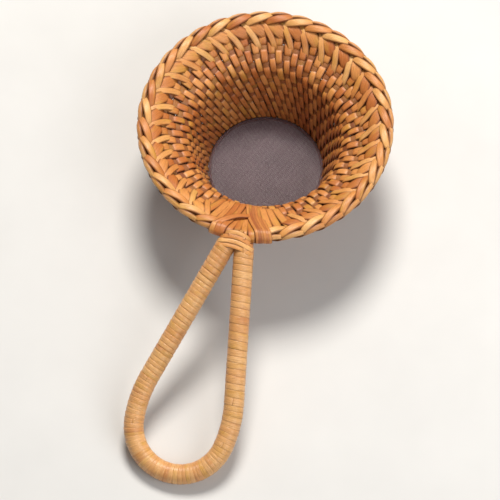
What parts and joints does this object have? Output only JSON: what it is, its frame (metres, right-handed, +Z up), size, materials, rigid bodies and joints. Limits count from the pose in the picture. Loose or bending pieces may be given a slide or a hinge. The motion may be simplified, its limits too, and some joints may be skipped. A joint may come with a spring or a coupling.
{
  "type": "tea strainer",
  "caption": "Woven rattan tea strainer with a flared funnel, a fine wire filter, a plaited rim and a wrapped teardrop loop handle lashed to it.",
  "frame": {"origin": "centre of the foot ring, on the plane that it stands on", "axes": "+Z up along the funnel's axis, -Y towards the handle, +X to the right seen from the handle"},
  "size_m": [0.0864, 0.1618, 0.0395],
  "materials": {
    "rattan": "satin split rattan",
    "rattan_pale": "satin split rattan, paler",
    "rattan_dark": "satin split rattan, darker",
    "steel_gauze": "fine woven wire"
  },
  "bodies": {
    "root": {"filter_mesh": "steel_gauze", "filter_hoop": "rattan_dark", "foot_ring": "rattan", "base_band": "rattan", "weft_row_01": "rattan_dark", "weft_row_02": "rattan_dark", "weft_row_03": "rattan_dark", "weft_row_04": "rattan_dark", "weft_row_05": "rattan_dark", "weft_row_06": "rattan_dark", "weft_row_07": "rattan_dark", "weft_row_08": "rattan_dark", "weft_row_09": "rattan_dark", "weft_row_10": "rattan_dark", "stakes_a": "rattan", "stakes_b": "rattan_pale", "border_leaves": "rattan_pale", "border_strips": "rattan", "edge_beads_a": "rattan_pale", "edge_beads_b": "rattan", "edge_back_cord": "rattan_pale", "handle_core": "rattan_dark", "handle_wrap_left": "rattan_pale", "handle_wrap_right": "rattan", "handle_wrap_side_left": "rattan", "handle_wrap_side_right": "rattan", "handle_wrap_end": "rattan_pale", "neck_binding": "rattan_pale", "lashing_left": "rattan", "lashing_right": "rattan_dark", "lashing_cross": "rattan_dark"}
  },
  "joints": []
}
